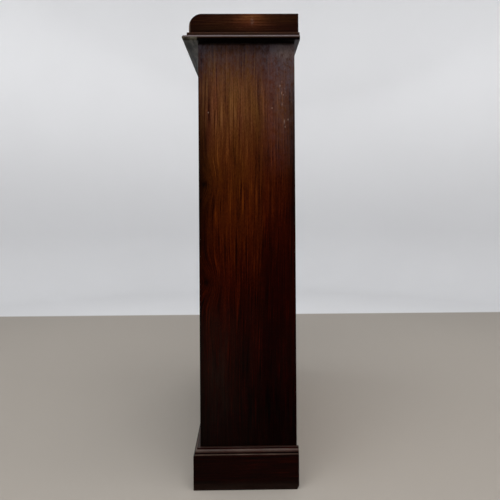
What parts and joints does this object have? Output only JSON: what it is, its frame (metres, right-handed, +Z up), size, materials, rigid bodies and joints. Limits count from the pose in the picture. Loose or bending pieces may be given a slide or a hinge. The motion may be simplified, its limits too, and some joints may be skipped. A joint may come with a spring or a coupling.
{
  "type": "display cabinet",
  "caption": "Low shallow display cabinet in dark polished mahogany with glazed doors, adjustable shelves, a moulded plinth and a low gallery round the top.",
  "frame": {"origin": "on the floor, under the middle of the top board", "axes": "+Z up, -Y out of the glazed front, +X to the right when facing the front"},
  "size_m": [1.067, 0.285, 1.162],
  "materials": {
    "mahogany": "french polished, worn",
    "secondary_wood": "stained and waxed softwood",
    "glass": "clear drawn sheet",
    "brass": "aged, hand polished",
    "steel": "dull, handled"
  },
  "bodies": {
    "carcase": {"side_panel_left": "mahogany", "side_panel_right": "mahogany", "carcase_bottom": "mahogany", "carcase_sub_top": "mahogany", "top_board": "mahogany", "gallery_side_left": "mahogany", "gallery_side_right": "mahogany", "gallery_back": "mahogany", "plinth_front": "mahogany", "plinth_side_left": "mahogany", "plinth_side_right": "mahogany", "base_moulding_front": "mahogany", "base_moulding_left": "mahogany", "base_moulding_right": "mahogany", "door_stops": "mahogany", "shelf_strip_front_left": "mahogany", "shelf_strip_back_left": "mahogany", "shelf_strip_front_right": "mahogany", "shelf_strip_back_right": "mahogany", "shelf_bearers_1": "mahogany", "shelf_bearers_2": "mahogany", "shelf_bearers_3": "mahogany", "plinth_back_rail": "secondary_wood", "plinth_glue_blocks": "secondary_wood", "back_board_1": "secondary_wood", "back_board_2": "secondary_wood", "back_board_3": "secondary_wood", "back_board_4": "secondary_wood", "back_board_5": "secondary_wood", "carcase_hinge_leaves": "brass", "carcase_hinge_screws": "brass", "hinge_pins": "brass", "back_board_screws": "steel"},
    "left_door": {"door_left_hinge_stile": "mahogany", "door_left_meeting_stile": "mahogany", "door_left_top_rail": "mahogany", "door_left_bottom_rail": "mahogany", "door_left_glass": "glass", "door_left_glazing_beads": "mahogany", "door_left_hinge_leaves": "brass", "door_left_hinge_screws": "brass", "slide_bolt_plates": "brass", "strike_plate": "brass"},
    "right_door": {"door_right_hinge_stile": "mahogany", "door_right_meeting_stile": "mahogany", "door_right_top_rail": "mahogany", "door_right_bottom_rail": "mahogany", "door_right_glass": "glass", "door_right_glazing_beads": "mahogany", "door_right_hinge_leaves": "brass", "door_right_hinge_screws": "brass", "lock_case": "brass", "escutcheon": "brass"},
    "key": {"lock_key": "steel"},
    "throw_bolt": {"lock_bolt": "brass"},
    "upper_bolt": {"slide_bolt_top": "brass"},
    "lower_bolt": {"slide_bolt_bottom": "brass"},
    "lower_shelf": {"shelf_1": "mahogany"},
    "middle_shelf": {"shelf_2": "mahogany"},
    "upper_shelf": {"shelf_3": "mahogany"}
  },
  "joints": [
    {"name": "left_door_swing", "type": "hinge", "parent": "carcase", "child": "left_door", "pos_m": [-0.478, -0.105, 0.59], "axis": [0, 0, -1], "range_deg": [0, 110]},
    {"name": "right_door_swing", "type": "hinge", "parent": "carcase", "child": "right_door", "pos_m": [0.478, -0.105, 0.59], "axis": [0, 0, 1], "range_deg": [0, 110]},
    {"name": "key_turn", "type": "hinge", "parent": "right_door", "child": "key", "pos_m": [0.019, -0.1, 0.59025], "axis": [0, -1, 0], "range_deg": [0, 360]},
    {"name": "throw_bolt_slide", "type": "slide", "parent": "right_door", "child": "throw_bolt", "axis": [-1, 0, 0], "range_m": [0, 0.007]},
    {"name": "upper_bolt_slide", "type": "slide", "parent": "left_door", "child": "upper_bolt", "axis": [0, 0, 1], "range_m": [0, 0.012]},
    {"name": "lower_bolt_slide", "type": "slide", "parent": "left_door", "child": "lower_bolt", "axis": [0, 0, -1], "range_m": [0, 0.012]},
    {"name": "lower_shelf_lift", "type": "slide", "parent": "carcase", "child": "lower_shelf", "axis": [0, 0, 1], "range_m": [0, 0.2]},
    {"name": "middle_shelf_lift", "type": "slide", "parent": "carcase", "child": "middle_shelf", "axis": [0, 0, 1], "range_m": [0, 0.2]},
    {"name": "upper_shelf_lift", "type": "slide", "parent": "carcase", "child": "upper_shelf", "axis": [0, 0, 1], "range_m": [0, 0.2]}
  ],
  "couplings": [
    {"joint": "key_turn", "follows": "throw_bolt_slide", "rad_per_m": 897.59}
  ]
}
